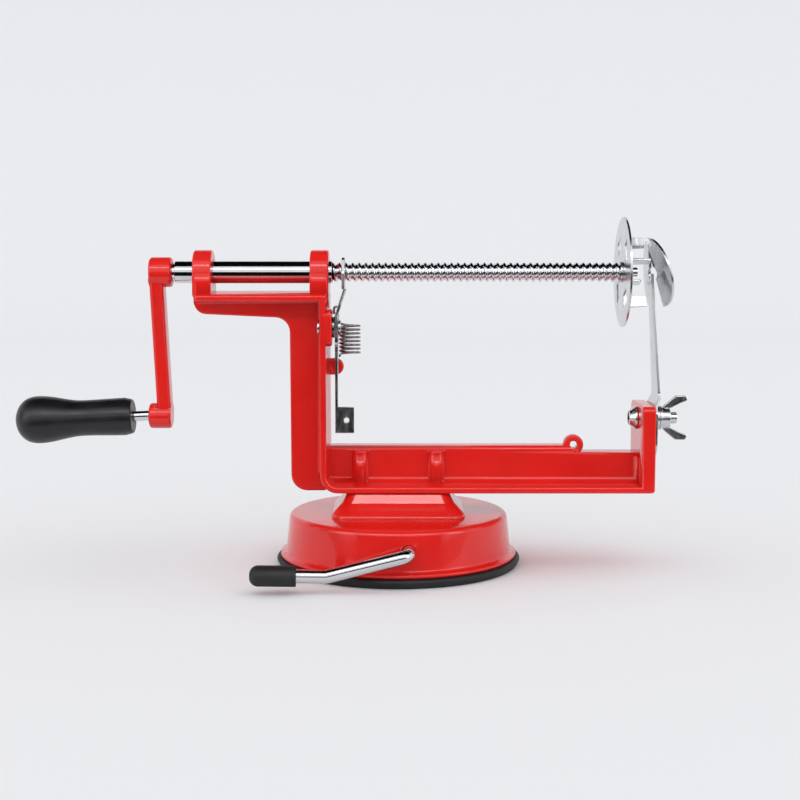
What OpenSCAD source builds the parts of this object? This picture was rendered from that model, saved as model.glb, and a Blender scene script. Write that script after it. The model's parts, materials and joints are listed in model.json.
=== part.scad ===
// Hand cranked spiral potato cutter on a suction base.
// Millimetres. The origin is on the table under the middle of the suction cup.
// X runs along the screw from the crank to the blade, Y away from the viewer, Z up.

/* [Suction cup] */
// Diameter of the rubber cup
cup_d = 100; // [96:1:104]
// Thickness of the cup at its rim
cup_rim_h = 3.6; // [3:0.1:4.5]
// Radius of the moulded socket for the stem
cup_boss_r = 9; // [8:0.5:11]
// Height of the moulded socket for the stem
cup_boss_h = 6.6; // [6:0.1:7]
// Radius of the rounded rim edge
cup_edge_r = 1.2; // [0.8:0.1:1.5]

/* [Base housing] */
// Radius of the flange that sits on the cup
base_flange_r = 48.4; // [47.5:0.1:49]
// Thickness of the flange
base_flange_t = 1.6; // [1.2:0.1:2]
// Radius of the wall at its foot
base_foot_r = 46.2; // [45.5:0.1:46.8]
// Radius of the wall at its shoulder
base_top_r = 44.6; // [44:0.1:45]
// Height of the shoulder above the table
base_shoulder_z = 21.4; // [20.5:0.1:22.5]
// Wall thickness of the casting
base_wall = 2.6; // [2:0.1:3]
// Radius of the rounded shoulder
base_shoulder_r = 2.2; // [1.5:0.1:3]
// Rise of the roof from the shoulder to the middle
base_roof_rise = 0.6; // [0.3:0.1:1]
// Height of the pedestal's top, where the frame stands
pedestal_z = 31; // [30:0.5:33]
// Length of the pedestal's top
pedestal_l = 41.5; // [40:0.5:44]
// Width of the pedestal's top
pedestal_w = 27; // [26:0.5:28]
// Length of the pedestal's foot
pedestal_foot_l = 54; // [51:0.5:56]
// Width of the pedestal's foot
pedestal_foot_w = 43; // [40:0.5:46]

/* [Suction lever] */
// Place of the lever's axis to the right of the middle
lever_x = 4; // [3:0.5:5]
// Height of the lever's axis above the table
lever_z = 13.5; // [13:0.1:14]
// Diameter of the lever's rod
lever_d = 5.3; // [5:0.1:5.6]
// Offset of the lever's inner crank
crank_e = 1.5; // [1.2:0.1:1.6]
// Inside radius of the lever's outer bends
lever_bend_r = 6; // [5.5:0.1:7]
// Diameter of the rubber cap
lever_cap_d = 8; // [7.6:0.1:9]
// Length of the rubber cap
lever_cap_l = 17.6; // [16:0.2:19]

/* [Frame casting] */
// Width of the flanges
frame_w = 30; // [28:0.5:32]
// Thickness of the web
web_t = 9; // [8:0.5:10]
// Thickness of the flanges at their edges
flange_t = 2.5; // [2.2:0.1:3]
// Extra thickness of the flanges in the middle
flange_crown = 1.2; // [0.8:0.1:1.6]
// Height of the arm's top face at its edges
arm_z = 110.7; // [109:0.1:111]
// Left end of the arm's web, measured from the middle of the base
arm_left = 82.7; // [81:0.1:84]
// Right face of the column, measured from the middle of the base
column_right = 27.7; // [26:0.1:29]
// Width of the column's web
column_w = 16.3; // [15:0.1:18]
// Radius of the corner between the column and the lower beam
frame_corner_r = 7; // [6:0.1:8]
// Height of the lower beam's web above its flange's edge
beam_web_h = 15.5; // [14:0.1:17]
// Drop of the web's top edge towards the end post
beam_step = 2.8; // [2:0.2:3.4]
// Right face of the end post, measured from the middle of the base
post_right = 103.4; // [102:0.2:105]
// Thickness of the end post
post_t = 5.5; // [5:0.1:6.5]
// Height of the end post's top above the table
post_z = 66; // [65:0.5:68]
// Thickness of the shaft lugs along the screw
lug_t = 7.6; // [7:0.2:8.6]
// Radius of the shaft lugs
lug_r = 9; // [8.5:0.1:9.5]
// Spacing of the two screw bosses
boss_pitch = 31; // [28:0.5:32]
// Diameter of the screw bosses
boss_d = 6.6; // [6.2:0.1:7.4]
// Place of the eye lug to the right of the middle
eye_x = 71.8; // [68:0.2:74]
// Radius of the eye lug
eye_r = 4.1; // [3.6:0.1:4.6]
// Radius of the hole in the eye lug
eye_hole_r = 1.5; // [1.2:0.1:1.8]

/* [Screw and tube] */
// Height of the screw's axis above the table
shaft_z = 119.5; // [118.5:0.1:121]
// Diameter of the bearing tube
tube_d = 9.1; // [8.9:0.1:9.6]
// Diameter of the plain part of the screw
rod_d = 8; // [7.6:0.1:8.1]
// Left end of the bearing tube, measured from the middle of the base
tube_left = 90.4; // [88:0.2:90.6]
// Length of the tube that stands out of the right lug
tube_proud = 0.9; // [0.5:0.1:1.5]
// Pitch of the thread
thread_pitch = 2.67; // [2.5:0.01:2.9]
// Depth of the thread
thread_depth = 0.9; // [0.7:0.05:1]
// Diameter of the turned neck at the crank
neck_d = 6.9; // [6.4:0.1:7.2]
// Left face of the prong disc, measured from the middle of the base
disc_x = 90.8; // [88:0.2:92]

/* [Crank and handle] */
// Right face of the crank's hub, measured from the middle of the base
hub_right = 91.6; // [91.2:0.1:93]
// Length of the crank's hub and boss
hub_l = 9.2; // [8.6:0.1:10]
// Diameter of the crank's hub
hub_d = 12.2; // [11.6:0.1:12.8]
// Diameter of the crank's boss
boss_end_d = 10.5; // [10:0.1:11]
// Distance between the screw's axis and the handle's axis
crank_throw = 58.6; // [56:0.2:61]
// Lean of the crank towards its lower end
crank_lean = 1.1; // [0.6:0.1:1.6]
// Thickness of the crank's arm along the screw
crank_arm_t = 5.7; // [5.2:0.1:6.2]
// Width of the crank's arm
crank_arm_w = 8.6; // [8:0.1:9.2]
// Diameter of the handle's pin
pin_d = 4.2; // [4:0.1:4.6]
// Bare length of the pin between the boss and the grip
pin_bare = 6.8; // [6:0.2:7.6]
// Length of the grip
grip_l = 48; // [46:0.2:50]
// Diameter of the grip's round end
grip_bulb_d = 19.4; // [18:0.2:20.4]
// Diameter of the grip's neck
grip_neck_d = 14.6; // [13.6:0.2:15.4]
// Diameter of the grip at its flare
grip_flare_d = 15.4; // [15:0.2:16]
// Droop of the handle towards its free end, in degrees
handle_droop = 2.2; // [0:0.2:2.6]

/* [Prong disc] */
// Diameter of the disc
disc_d = 44.4; // [42:0.2:46]
// Thickness of the sheet
disc_t = 0.9; // [0.8:0.1:1]
// Number of prongs
prong_count = 4; // [3:1:4]
// Length of the prongs
prong_l = 8.6; // [7.6:0.2:8.8]
// Width of the prongs
prong_w = 5.4; // [4.8:0.2:5.8]
// Distance of the prongs' inner edge from the axis
prong_in = 9.8; // [9.2:0.2:10.4]
// Turn of the first prong from the vertical, in degrees
prong_turn = 23; // [0:1:40]

/* [Blade] */
// Thickness of the blade's sheet
blade_t = 1.1; // [1:0.1:1.2]
// Radius of the cutting head
head_r = 14.4; // [13.6:0.2:15]
// Width of the blade's foot
foot_w = 24; // [22:0.5:26]
// Width of the strip where it leaves the foot
strip_low_w = 15; // [13:0.5:16]
// Width of the strip at the head
strip_top_w = 8; // [7:0.5:9]
// Height of the blade bolt's axis above the table
bolt_z = 60; // [59:0.2:61]
// Offset of the strip from the foot
strip_step = 1.6; // [1.2:0.1:2]
// Lean of the strip towards the screw, in degrees
strip_lean = 3.6; // [3:0.1:4]
// Lean of the bent half of the head, in degrees
petal_lean = 12; // [11:0.5:13]
// Turn of the bent half of the head, in degrees
petal_turn = 15; // [14:0.5:16]
// Radius of the hole in the middle of the head
skewer_r = 2.2; // [1.8:0.1:2.6]
// Diameter of the blade bolt
bolt_d = 4.8; // [4.6:0.1:5]

/* [Release lever] */
// Thickness of the lever's sheet
catch_t = 1.2; // [1:0.1:1.3]
// Drop of the pivot's axis below the arm's top face
pivot_drop = 13.1; // [12:0.1:15]
// Place of the pivot in front of the screw's axis
pivot_y = 9.5; // [9:0.1:10]
// Width of the thumb tab
tab_w = 7.6; // [7:0.2:8.4]
// Height of the thumb tab
tab_h = 10.6; // [10:0.2:12]
// Diameter of the spring's wire
wire_d = 0.9; // [0.8:0.05:0.95]
// Mean diameter of the spring's coil
coil_d = 8; // [7.6:0.1:8.4]
// Gap between neighbouring turns and legs of the spring
wire_gap = 0.65; // [0.6:0.05:0.8]
// Number of turns of the spring
coil_turns = 8; // [7:1:9]

/* [Hidden] */
$fn = 64;

// Fits and clearances
run_gap = 0.05;
seat_gap = 0.02;
soft_gap = 0.3;
cut_over = 1;
hole_gap = 0.3;

// Colours of the finishes
red = "#d8231c";
steel = "#c9ccd0";
dark_steel = "#4a4448";
black = "#1d1d20";

// Suction cup and stem
stem_foot_r = 5;
stem_foot_z = 2.6;
stem_head_t = 6;
stem_wall = 2;
slot_gap = 0.5;

// Base housing
roof_z = base_shoulder_z + base_roof_rise;
pedestal_flare = 3.6;
pedestal_mid_z = base_shoulder_z + (pedestal_z - base_shoulder_z) * 0.58;
pedestal_mid_l = pedestal_l + pedestal_flare;
pedestal_mid_w = pedestal_w + pedestal_flare;
pedestal_corner = 4;
pedestal_skin = 3.4;
lever_lip = 0.8;
flange_edge_r = 0.6;
wall_foot_rise = 0.4;
wall_foot_r = 1.4;

// Base screws
screw_r = 1.95;
screw_hole_r = screw_r + run_gap;
screw_head_r = 3.6;
screw_head_h = 2.4;
screw_depth = 10;
recess_w = 0.9;
recess_l = 4;
recess_h = 1.2;

// Suction lever: the points of its centre line
lever_r = lever_d / 2;
front_y = -sqrt(pow(base_top_r + (base_foot_r - base_top_r) / 2, 2) - pow(lever_x, 2));
clip_t = 1;
clip_y = max(base_foot_r, base_top_r) + run_gap;
lever_out_y = front_y - lever_r * 2.6;
rod_back_y = clip_y + clip_t + lever_r / 2;
cap_mouth_r = 0.5;
crank_in_y = lever_r * 3.6;
crank_out_y = lever_r * 4.4;
elbow_left = 27;
elbow_out = 2.6;
elbow_z = 6.4;
tip_left = 54.5;
tip_out = 4;
tip_z = 7;
lever_elbow = [-elbow_left, lever_out_y - elbow_out, elbow_z];
lever_tip = [-tip_left, lever_out_y - tip_out, tip_z];

// Frame casting
web_half = web_t / 2;
flange_half = frame_w / 2;
beam_z = pedestal_z;
beam_top = beam_z + flange_t + beam_web_h;
arm_low = arm_z - flange_t;
column_back = column_right + flange_t + flange_crown;
column_left = column_right + column_w;
fillet_r = 2;
web_corner_r = 5;
web_foot_r = 6.5;
web_inner_r = 5.9;
web_fall = 0.6;
edge_r = 1.6;
post_left = post_right - post_t;
arm_web_h = 5.4;
arm_web_fall = 1.8;
arm_end_in = 1.2;
arm_plan_r = 2;
column_taper = 0.2;
lug_half = lug_r;
ear_r = 5.6;
ear_h = 15;
ear_t = 1.3;
ear_root = 2.3;
ear_face = column_right - ear_t;
stop_r = 3.4;
stop_t = 4;
stop_drop = 16.4;
stop_z = arm_z - pivot_drop - stop_drop;
eye_t = 5;

// Screw
rod_r = rod_d / 2;
tube_r = tube_d / 2;
neck_l = 1.2;
neck_in = 6.5;
thread_gap = 0.9;
thread_left = column_right + thread_gap;
thread_steps = 6;
thread_sides = 12;
washer_t = 1;
washer_r = 4.2;
stud_r = 1.95;
stud_l = 5.2;
nut_h = 1.9;
nut_af = 7;

// Handle
pin_r = pin_d / 2;
pin_head_step = 0.9;
pin_head_r = pin_r + pin_head_step;
pin_head_l = 2.4;
pin_in = 7;
boss_axis_z = shaft_z - crank_throw;
boss_right = hub_right + crank_lean;
pin_reach_share = 0.86;

// Blade
blade_washer_r = 5;
foot_h_share = 0.6;
foot_corner = 5;
foot_top_r = 2;
foot_top_rise = 3;
foot_top_z = bolt_z + foot_top_rise;
neck_rise = 10.5;
neck_z = bolt_z + neck_rise;
step_rise = 3.6;
step_low_z = bolt_z + blade_washer_r + soft_gap;
step_top_z = step_low_z + step_rise;
head_drop = 0.6;
head_z = shaft_z - head_drop;
petal_drop = 9.6;
bolt_head_r = 4.7;
bolt_head_h = 3.4;
bolt_end_l = 9.6;
blade_washer_t = 2.2;

// Wing nut
wing_hub_r = 4.4;
wing_hub_l = 4.4;
wing_skirt_r = 5;
wing_reach = 11.9;
wing_t = 2.4;
wing_shares = [[0.05, 0.28, 0], [0.3, 0.28, 0], [0.75, 0.51, 0], [1, 0.6, 0.07],
    [0.92, 0.77, 0.075], [0.57, 0.76, 0.1], [0.2, 0.45, 0]];

// Release lever
pivot_z = arm_z - pivot_drop;
catch_x = 25.3;
catch_top_x = 21.9;
bend_rise = 5;
bend_drop = 6.5;
tip_rise = 6;
bend_low_z = pivot_z + bend_rise;
bend_top_z = shaft_z - bend_drop;
catch_tip_z = shaft_z + tip_rise;
tooth_r = rod_r - thread_depth * 0.45;
tooth_t = 0.5;
tooth_half = 2.4;
tooth_in = 1.2;
hook_in = 1.5;
hook_top_in = 3;
hook_r = 2;
catch_drop = 8;
catch_corner = 3;
stem_top_in = 1.4;
stem_top_w = 4;
stem_low_in = 2;
stem_low_w = 2.4;
pin_rivet_r = 1.8;
pin_cap_r = 3;
pin_cap_h = 1;
spacer_r = 4.2;
catch_gap = 0.1;
plate_back = 3.4;
plate_front = 5;
catch_back = pivot_y - plate_back;
catch_front = pivot_y + plate_front;
tab_drop = 37.1;
tab_z = pivot_z - tab_drop;

// Spring
wire_r = wire_d / 2;
coil_x = -19.7;
coil_y = -1.5;
coil_rise = 0.6;
coil_top = pivot_z + coil_rise;
coil_pitch = wire_d + wire_gap;
coil_end_z = coil_top - coil_pitch * (coil_turns - 0.25);
hook_left_x = -ear_face + catch_gap + wire_r;
hook_right_x = hook_left_x + coil_pitch;
hook_y = -catch_back + wire_d;
hook_end_z = pivot_z + ear_r - catch_gap * 5;
hook_bend_z = hook_end_z + wire_d * 2.5;
leg_x = -catch_x + catch_t + wire_r + catch_gap * 1.5;

// Shared helpers

// Points of a rounded corner between the points a, b and c
function unit(v) = v / norm(v);
function corner(a, b, c, r, n = 6) =
    let (u = unit(a - b), w = unit(c - b), half = acos(u * w) / 2, run = r / tan(half),
        mid = b + unit(u + w) * (r / sin(half)), s = b + u * run - mid, e = b + w * run - mid,
        a0 = atan2(s[1], s[0]), turn = ((atan2(e[1], e[0]) - a0 + 540) % 360) - 180)
    [for (i = [0 : n]) mid + r * [cos(a0 + turn * i / n), sin(a0 + turn * i / n)]];

// Outline whose points are [x, y, corner radius]
function rounded(p) = [for (i = [0 : len(p) - 1])
    let (q = p[i], a = p[(i + len(p) - 1) % len(p)], c = p[(i + 1) % len(p)])
    each (q[2] > 0 ? corner([a[0], a[1]], [q[0], q[1]], [c[0], c[1]], q[2]) : [[q[0], q[1]]])];

// Plate whose outline lies in X and Z, centred on Y
module plate_y(points, t) {
    rotate([90, 0, 0]) linear_extrude(t, center = true) polygon(points);
}

// Plate whose outline lies in Y and Z, from x to x + t
module plate_x(points, x, t) {
    translate([x, 0, 0]) rotate([90, 0, 90]) linear_extrude(t) polygon(points);
}

// Round bar along X, from x to x + l
module bar_x(r, x, l, y = 0, z = shaft_z) {
    translate([x, y, z]) rotate([0, 90, 0]) cylinder(r = r, h = l);
}

// Straight concave fillet strip along Z, in the corner of the planes x = 0 and y = 0
module fillet_strip(r, l) {
    linear_extrude(l) difference() {
        square(r);
        translate([r, r]) circle(r, $fn = 32);
    }
}

// Corner posts of a slab, centred on X and Y, for use inside a hull
module slab(l, w, t, r) {
    linear_extrude(t) for (sx = [-1, 1]) for (sy = [-1, 1])
        translate([sx * (l / 2 - r), sy * (w / 2 - r)]) circle(r, $fn = 32);
}

// Centre line through points with arcs of radius r at its corners, in n steps each
function bent_path(p, r, n) = concat([p[0]], [for (i = [1 : len(p) - 2])
    let (t = unit(p[i] - p[i - 1]), w = unit(p[i + 1] - p[i]), turn = acos(t * w),
        trim = r * tan(turn / 2), m = unit(w - t * (t * w)), c = p[i] - t * trim + m * r)
    each [for (k = [0 : n]) c - m * r * cos(turn * k / n) + t * r * sin(turn * k / n)]], [p[len(p) - 1]]);

// Closed tube swept along points, with the given number of sides
module swept_tube(p, d, sides) {
    n = len(p);
    function along(i) = unit(p[min(i + 1, n - 1)] - p[max(i - 1, 0)]);
    function side(i) = unit(cross(along(i), [0.13, 0.97, 0.21]));
    rings = [for (i = [0 : n - 1]) let (u = side(i), w = cross(along(i), u))
        for (k = [0 : sides - 1]) p[i] + d / 2 * (u * cos(k * 360 / sides) + w * sin(k * 360 / sides))];
    skin = [for (i = [0 : n - 2]) for (k = [0 : sides - 1])
        let (a = i * sides + k, b = i * sides + (k + 1) % sides)
        each [[a, b + sides, b], [a, a + sides, b + sides]]];
    start = [for (k = [1 : sides - 2]) [0, k, k + 1]];
    f = (n - 1) * sides;
    end = [for (k = [1 : sides - 2]) [f, f + k + 1, f + k]];
    polyhedron(rings, concat(skin, start, end));
}

// Base: cup, housing, stem and screws

module suction_cup() {
    cup_r = cup_d / 2;
    under = cup_rim_h - soft_gap;
    color(black) rotate_extrude($fn = 96) difference() {
        polygon(rounded([[0, 0, 0], [cup_r - cup_edge_r, 0, 0], [cup_r, cup_edge_r * 2, cup_edge_r],
            [cup_r, cup_rim_h, cup_edge_r], [cup_boss_r, cup_rim_h, 0], [cup_boss_r, cup_boss_h, 0],
            [0, cup_boss_h, 0]]));
        translate([-cut_over, stem_foot_z]) square([stem_foot_r + run_gap + cut_over, cup_boss_h]);
    }
}

module base_shell() {
    difference() {
        polygon(rounded([[0, cup_rim_h, 0], [base_flange_r, cup_rim_h, 0],
            [base_flange_r, cup_rim_h + base_flange_t, flange_edge_r],
            [base_foot_r, cup_rim_h + base_flange_t + wall_foot_rise, wall_foot_r],
            [base_top_r, base_shoulder_z, base_shoulder_r], [0, roof_z, 0]]));
        polygon([[-cut_over, cup_rim_h - cut_over], [base_foot_r - base_wall, cup_rim_h - cut_over],
            [base_top_r - base_wall, base_shoulder_z - base_wall], [-cut_over, roof_z - base_wall]]);
    }
}

module pedestal() {
    low = base_shoulder_z - base_wall / 2;
    hull() {
        translate([0, 0, low]) slab(pedestal_foot_l, pedestal_foot_w, base_wall, pedestal_corner * 2);
        translate([0, 0, pedestal_mid_z]) slab(pedestal_mid_l, pedestal_mid_w, run_gap, pedestal_corner);
    }
    hull() {
        translate([0, 0, pedestal_mid_z - run_gap]) slab(pedestal_mid_l, pedestal_mid_w, run_gap, pedestal_corner);
        translate([0, 0, pedestal_z - run_gap]) slab(pedestal_l, pedestal_w, run_gap, pedestal_corner);
    }
}

module base_housing() {
    hollow_l = pedestal_l - 2 * base_wall - pedestal_corner;
    hollow_w = pedestal_w - 2 * base_wall;
    hole_r = lever_r + run_gap;
    color(red) difference() {
        union() {
            rotate_extrude($fn = 96) base_shell();
            pedestal();
        }
        translate([-hollow_l / 2, -hollow_w / 2, cup_rim_h])
            cube([hollow_l, hollow_w, pedestal_z - pedestal_skin - cup_rim_h]);
        translate([lever_x, 0, lever_z]) rotate([90, 0, 0]) cylinder(r = hole_r, h = cup_d, center = true);
        translate([lever_x, front_y + lever_lip / 2, lever_z]) rotate([90, 0, 0])
            cylinder(r1 = hole_r, r2 = hole_r + lever_lip * 2, h = lever_lip * 2);
        for (s = [-1, 1]) translate([s * boss_pitch / 2, 0, pedestal_z - pedestal_skin - cut_over])
            cylinder(r = screw_hole_r + hole_gap, h = pedestal_skin + 2 * cut_over);
        for (s = [-1, 1]) translate([s * boss_pitch / 2, 0, cup_rim_h])
            cylinder(r = screw_head_r + soft_gap, h = pedestal_z - pedestal_skin - cup_rim_h);
    }
}

module cup_stem() {
    slot_w = lever_d + 2 * crank_e + 2 * slot_gap;
    slot_h = lever_d + 2 * slot_gap;
    slot_z = lever_z - crank_e;
    head_w = slot_w + 2 * stem_wall;
    head_top = slot_z + slot_h / 2 + stem_wall;
    head_low = cup_boss_h + run_gap;
    color(steel) difference() {
        union() {
            translate([0, 0, stem_foot_z]) cylinder(r = stem_foot_r, h = head_low - stem_foot_z);
            translate([-stem_foot_r, -stem_head_t / 2, head_low])
                cube([stem_foot_r + lever_x + head_w / 2, stem_head_t, head_top - head_low]);
        }
        for (s = [-1, 1]) translate([lever_x + s * crank_e, 0, slot_z]) rotate([90, 0, 0])
            cylinder(d = slot_h, h = stem_head_t + 2 * cut_over, center = true);
        translate([lever_x, 0, slot_z]) cube([2 * crank_e, stem_head_t + 2 * cut_over, slot_h], center = true);
    }
}

module base_screws() {
    seat = pedestal_z - pedestal_skin;
    color(steel) for (s = [-1, 1]) translate([s * boss_pitch / 2, 0, seat]) difference() {
        union() {
            translate([0, 0, -screw_head_h]) cylinder(r = screw_head_r, h = screw_head_h);
            cylinder(r = screw_r, h = pedestal_skin + screw_depth);
        }
        for (a = [0, 90]) rotate([0, 0, a]) translate([-recess_l / 2, -recess_w / 2, -screw_head_h - recess_h / 2])
            cube([recess_l, recess_w, recess_h * 1.5]);
    }
}

// Suction lever

module suction_lever() {
    thin = lever_d - 2 * seat_gap;
    lap = lever_r / 2;
    color(steel) {
        translate([lever_x, rod_back_y, lever_z]) rotate([90, 0, 0])
            cylinder(d = lever_d, h = rod_back_y - crank_out_y - lap);
        translate([lever_x, -crank_out_y - lap, lever_z]) rotate([90, 0, 0])
            cylinder(d = lever_d, h = -lever_out_y - crank_out_y - lap - lever_bend_r);
        swept_tube(bent_path([
            [lever_x, crank_out_y + 2 * lap, lever_z],
            [lever_x, crank_out_y, lever_z],
            [lever_x, crank_in_y, lever_z - crank_e],
            [lever_x, -crank_in_y, lever_z - crank_e],
            [lever_x, -crank_out_y, lever_z],
            [lever_x, -crank_out_y - 2 * lap, lever_z]], lever_r * 0.6, 2), thin, 16);
        swept_tube(bent_path([
            [lever_x, lever_out_y + lever_bend_r + lap, lever_z],
            [lever_x, lever_out_y, lever_z],
            lever_elbow,
            lever_tip], lever_bend_r * 0.6, 5), thin, 16);
    }
}

module lever_cap() {
    way = unit(lever_tip - lever_elbow);
    wall = (lever_cap_d - lever_d) / 2;
    color(black) translate(lever_tip) rotate([0, acos(way[2]), atan2(way[1], way[0])])
        rotate_extrude() difference() {
            polygon(rounded([[0, wall + run_gap, 0], [lever_cap_d / 2, wall + run_gap, lever_cap_d / 2.4],
                [lever_cap_d / 2, wall + run_gap - lever_cap_l, cap_mouth_r], [0, wall + run_gap - lever_cap_l, 0]]));
            translate([-cut_over, -lever_cap_l - cut_over])
                square([lever_r + seat_gap + cut_over, lever_cap_l + cut_over + run_gap]);
        }
}

module lever_clip() {
    color(dark_steel) translate([lever_x, clip_y, lever_z]) rotate([-90, 0, 0]) difference() {
        cylinder(r = lever_d, h = clip_t);
        translate([0, 0, -cut_over]) cylinder(r = lever_r + seat_gap, h = clip_t + 2 * cut_over);
    }
}

// Frame casting

module frame_web() {
    low = beam_z - web_fall;
    right = -column_back + fillet_r;
    plate_y(rounded([
        [-arm_left, arm_z - flange_t / 2, 0],
        [-arm_left, arm_low - arm_web_h, web_corner_r],
        [-column_left, arm_low - arm_web_h - arm_web_fall, web_inner_r],
        [-column_left + column_taper, low, web_foot_r],
        [right, low, 0],
        [right, arm_z - flange_t / 2, 0]]), web_t);
}

// Section of the flanges: flat on one side, crowned on the other
module flange_section() {
    polygon([[-flange_half, 0], [flange_half, 0], [flange_half, flange_t],
        [web_half, flange_t + flange_crown], [-web_half, flange_t + flange_crown], [-flange_half, flange_t]]);
}

// Section of the lower beam's web, with its rounded top and the fillets at its foot
module beam_web_section() {
    top = flange_t + beam_web_h;
    foot = flange_t + flange_crown * 0.85 + fillet_r;
    difference() {
        union() {
            translate([-web_half, flange_t]) square([web_t, beam_web_h - edge_r]);
            translate([-web_half + edge_r, flange_t]) square([web_t - 2 * edge_r, beam_web_h]);
            for (s = [-1, 1]) translate([s * (web_half - edge_r), top - edge_r]) circle(edge_r);
            translate([-web_half - fillet_r, flange_t]) square([web_t + 2 * fillet_r, foot - flange_t]);
        }
        for (s = [-1, 1]) translate([s * (web_half + fillet_r), foot]) circle(fillet_r);
    }
}

module lower_beam() {
    left = -column_back + frame_corner_r;
    web_left = -column_back + flange_t;
    translate([left, 0, beam_z]) rotate([90, 0, 90]) linear_extrude(post_left + cut_over - left) flange_section();
    difference() {
        translate([web_left, 0, beam_z]) rotate([90, 0, 90])
            linear_extrude(post_left + cut_over - web_left) beam_web_section();
        translate([eye_x, -frame_w, beam_top - beam_step]) cube([post_right, frame_w * 2, beam_step + cut_over]);
    }
    translate([eye_x, 0, beam_top]) rotate([90, 0, 0]) cylinder(r = eye_r, h = eye_t, center = true);
}

module screw_bosses() {
    for (s = [-1, 1]) translate([s * boss_pitch / 2, 0, beam_z]) for (side = [-1, 1])
        translate([0, side * web_half, 0]) cylinder(d = boss_d, h = flange_t + beam_web_h - edge_r);
}

module end_post() {
    plate_x(rounded([
        [-flange_half, beam_z, 0],
        [flange_half, beam_z, 0],
        [flange_half, post_z, edge_r * 1.4],
        [-flange_half, post_z, edge_r * 1.4]]), post_left, post_t);
    for (s = [0, 1]) mirror([0, s, 0]) translate([post_left, -web_half, beam_z + flange_t])
        rotate([0, 0, 180]) fillet_strip(fillet_r, beam_web_h - beam_step - edge_r);
}

module arm_and_column_flange() {
    arm_l = arm_left - arm_end_in - column_right - flange_crown;
    turn_z = beam_z + frame_corner_r;
    intersection() {
        translate([-arm_left + arm_end_in, 0, arm_low]) rotate([90, 0, 90]) linear_extrude(arm_l) flange_section();
        translate([-arm_left + arm_end_in, 0, arm_low - cut_over])
            linear_extrude(flange_t + flange_crown + 2 * cut_over) polygon(rounded([
                [0, -flange_half, arm_plan_r], [arm_l + cut_over, -flange_half, 0],
                [arm_l + cut_over, flange_half, 0], [0, flange_half, arm_plan_r]]));
    }
    translate([-column_back, 0, turn_z]) mirror([1, 0, 0]) rotate([0, 0, 90])
        linear_extrude(arm_z - turn_z) flange_section();
    translate([-column_back + frame_corner_r, 0, turn_z]) rotate([90, 0, 0]) intersection() {
        rotate_extrude() translate([frame_corner_r, 0]) rotate(90) flange_section();
        translate([-2 * frame_corner_r, -2 * frame_corner_r, -frame_w])
            cube([2 * frame_corner_r, 2 * frame_corner_r, 2 * frame_w]);
    }
}

module arm_fillets() {
    turn_z = beam_z + frame_corner_r;
    for (s = [0, 1]) mirror([0, s, 0]) {
        translate([-arm_left + arm_end_in, -web_half, arm_low]) rotate([0, 90, 0]) rotate([0, 0, -90])
            fillet_strip(fillet_r, arm_left - arm_end_in - column_back);
        translate([-column_back, -web_half, turn_z]) rotate([0, 0, 180]) fillet_strip(fillet_r, arm_low - turn_z);
    }
}

module shaft_lugs() {
    for (x = [-arm_left, -column_right - soft_gap - lug_t]) {
        bar_x(lug_r, x, lug_t);
        translate([x, -lug_half, arm_z - flange_t / 2]) cube([lug_t, 2 * lug_half, shaft_z - arm_z + flange_t / 2]);
    }
}

module catch_ear() {
    plate_x(rounded([
        [-pivot_y - ear_r, pivot_z - ear_h / 2, ear_r / 2],
        [-pivot_y + ear_r, pivot_z - ear_h / 2, ear_r / 2],
        [-pivot_y + ear_r, pivot_z + ear_h / 2, ear_r / 2],
        [-pivot_y - ear_r, pivot_z + ear_h / 2, ear_r / 2]]), -column_right - ear_root, ear_root + ear_t);
    translate([-column_right - ear_t, 0, stop_z]) rotate([90, 0, 0]) hull() {
        cylinder(r = stop_r, h = stop_t, center = true, $fn = 32);
        translate([stop_r, 0, 0]) cylinder(r = stop_r, h = stop_t, center = true, $fn = 32);
    }
}

module frame_casting() {
    color(red) difference() {
        union() {
            frame_web();
            lower_beam();
            screw_bosses();
            end_post();
            arm_and_column_flange();
            arm_fillets();
            shaft_lugs();
            catch_ear();
        }
        bar_x(tube_r + seat_gap, -arm_left - cut_over, arm_left);
        bar_x(bolt_d / 2 + run_gap, post_left - cut_over, post_t + 2 * cut_over, 0, bolt_z);
        bar_x(pin_rivet_r + seat_gap, -column_back - cut_over, column_back - ear_face + 2 * cut_over,
            -pivot_y, pivot_z);
        translate([eye_x, 0, beam_top]) rotate([90, 0, 0])
            cylinder(r = eye_hole_r, h = eye_t + web_t, center = true);
        for (s = [-1, 1]) translate([s * boss_pitch / 2, 0, beam_z - cut_over])
            cylinder(r = screw_hole_r, h = screw_depth + 2 * cut_over);
    }
}

// Screw, tube and disc

module bearing_tube() {
    len_x = tube_left - column_right + tube_proud;
    color(steel) difference() {
        bar_x(tube_r, -tube_left, len_x);
        bar_x(rod_r + run_gap, -tube_left - cut_over, len_x + 2 * cut_over);
    }
}

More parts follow.
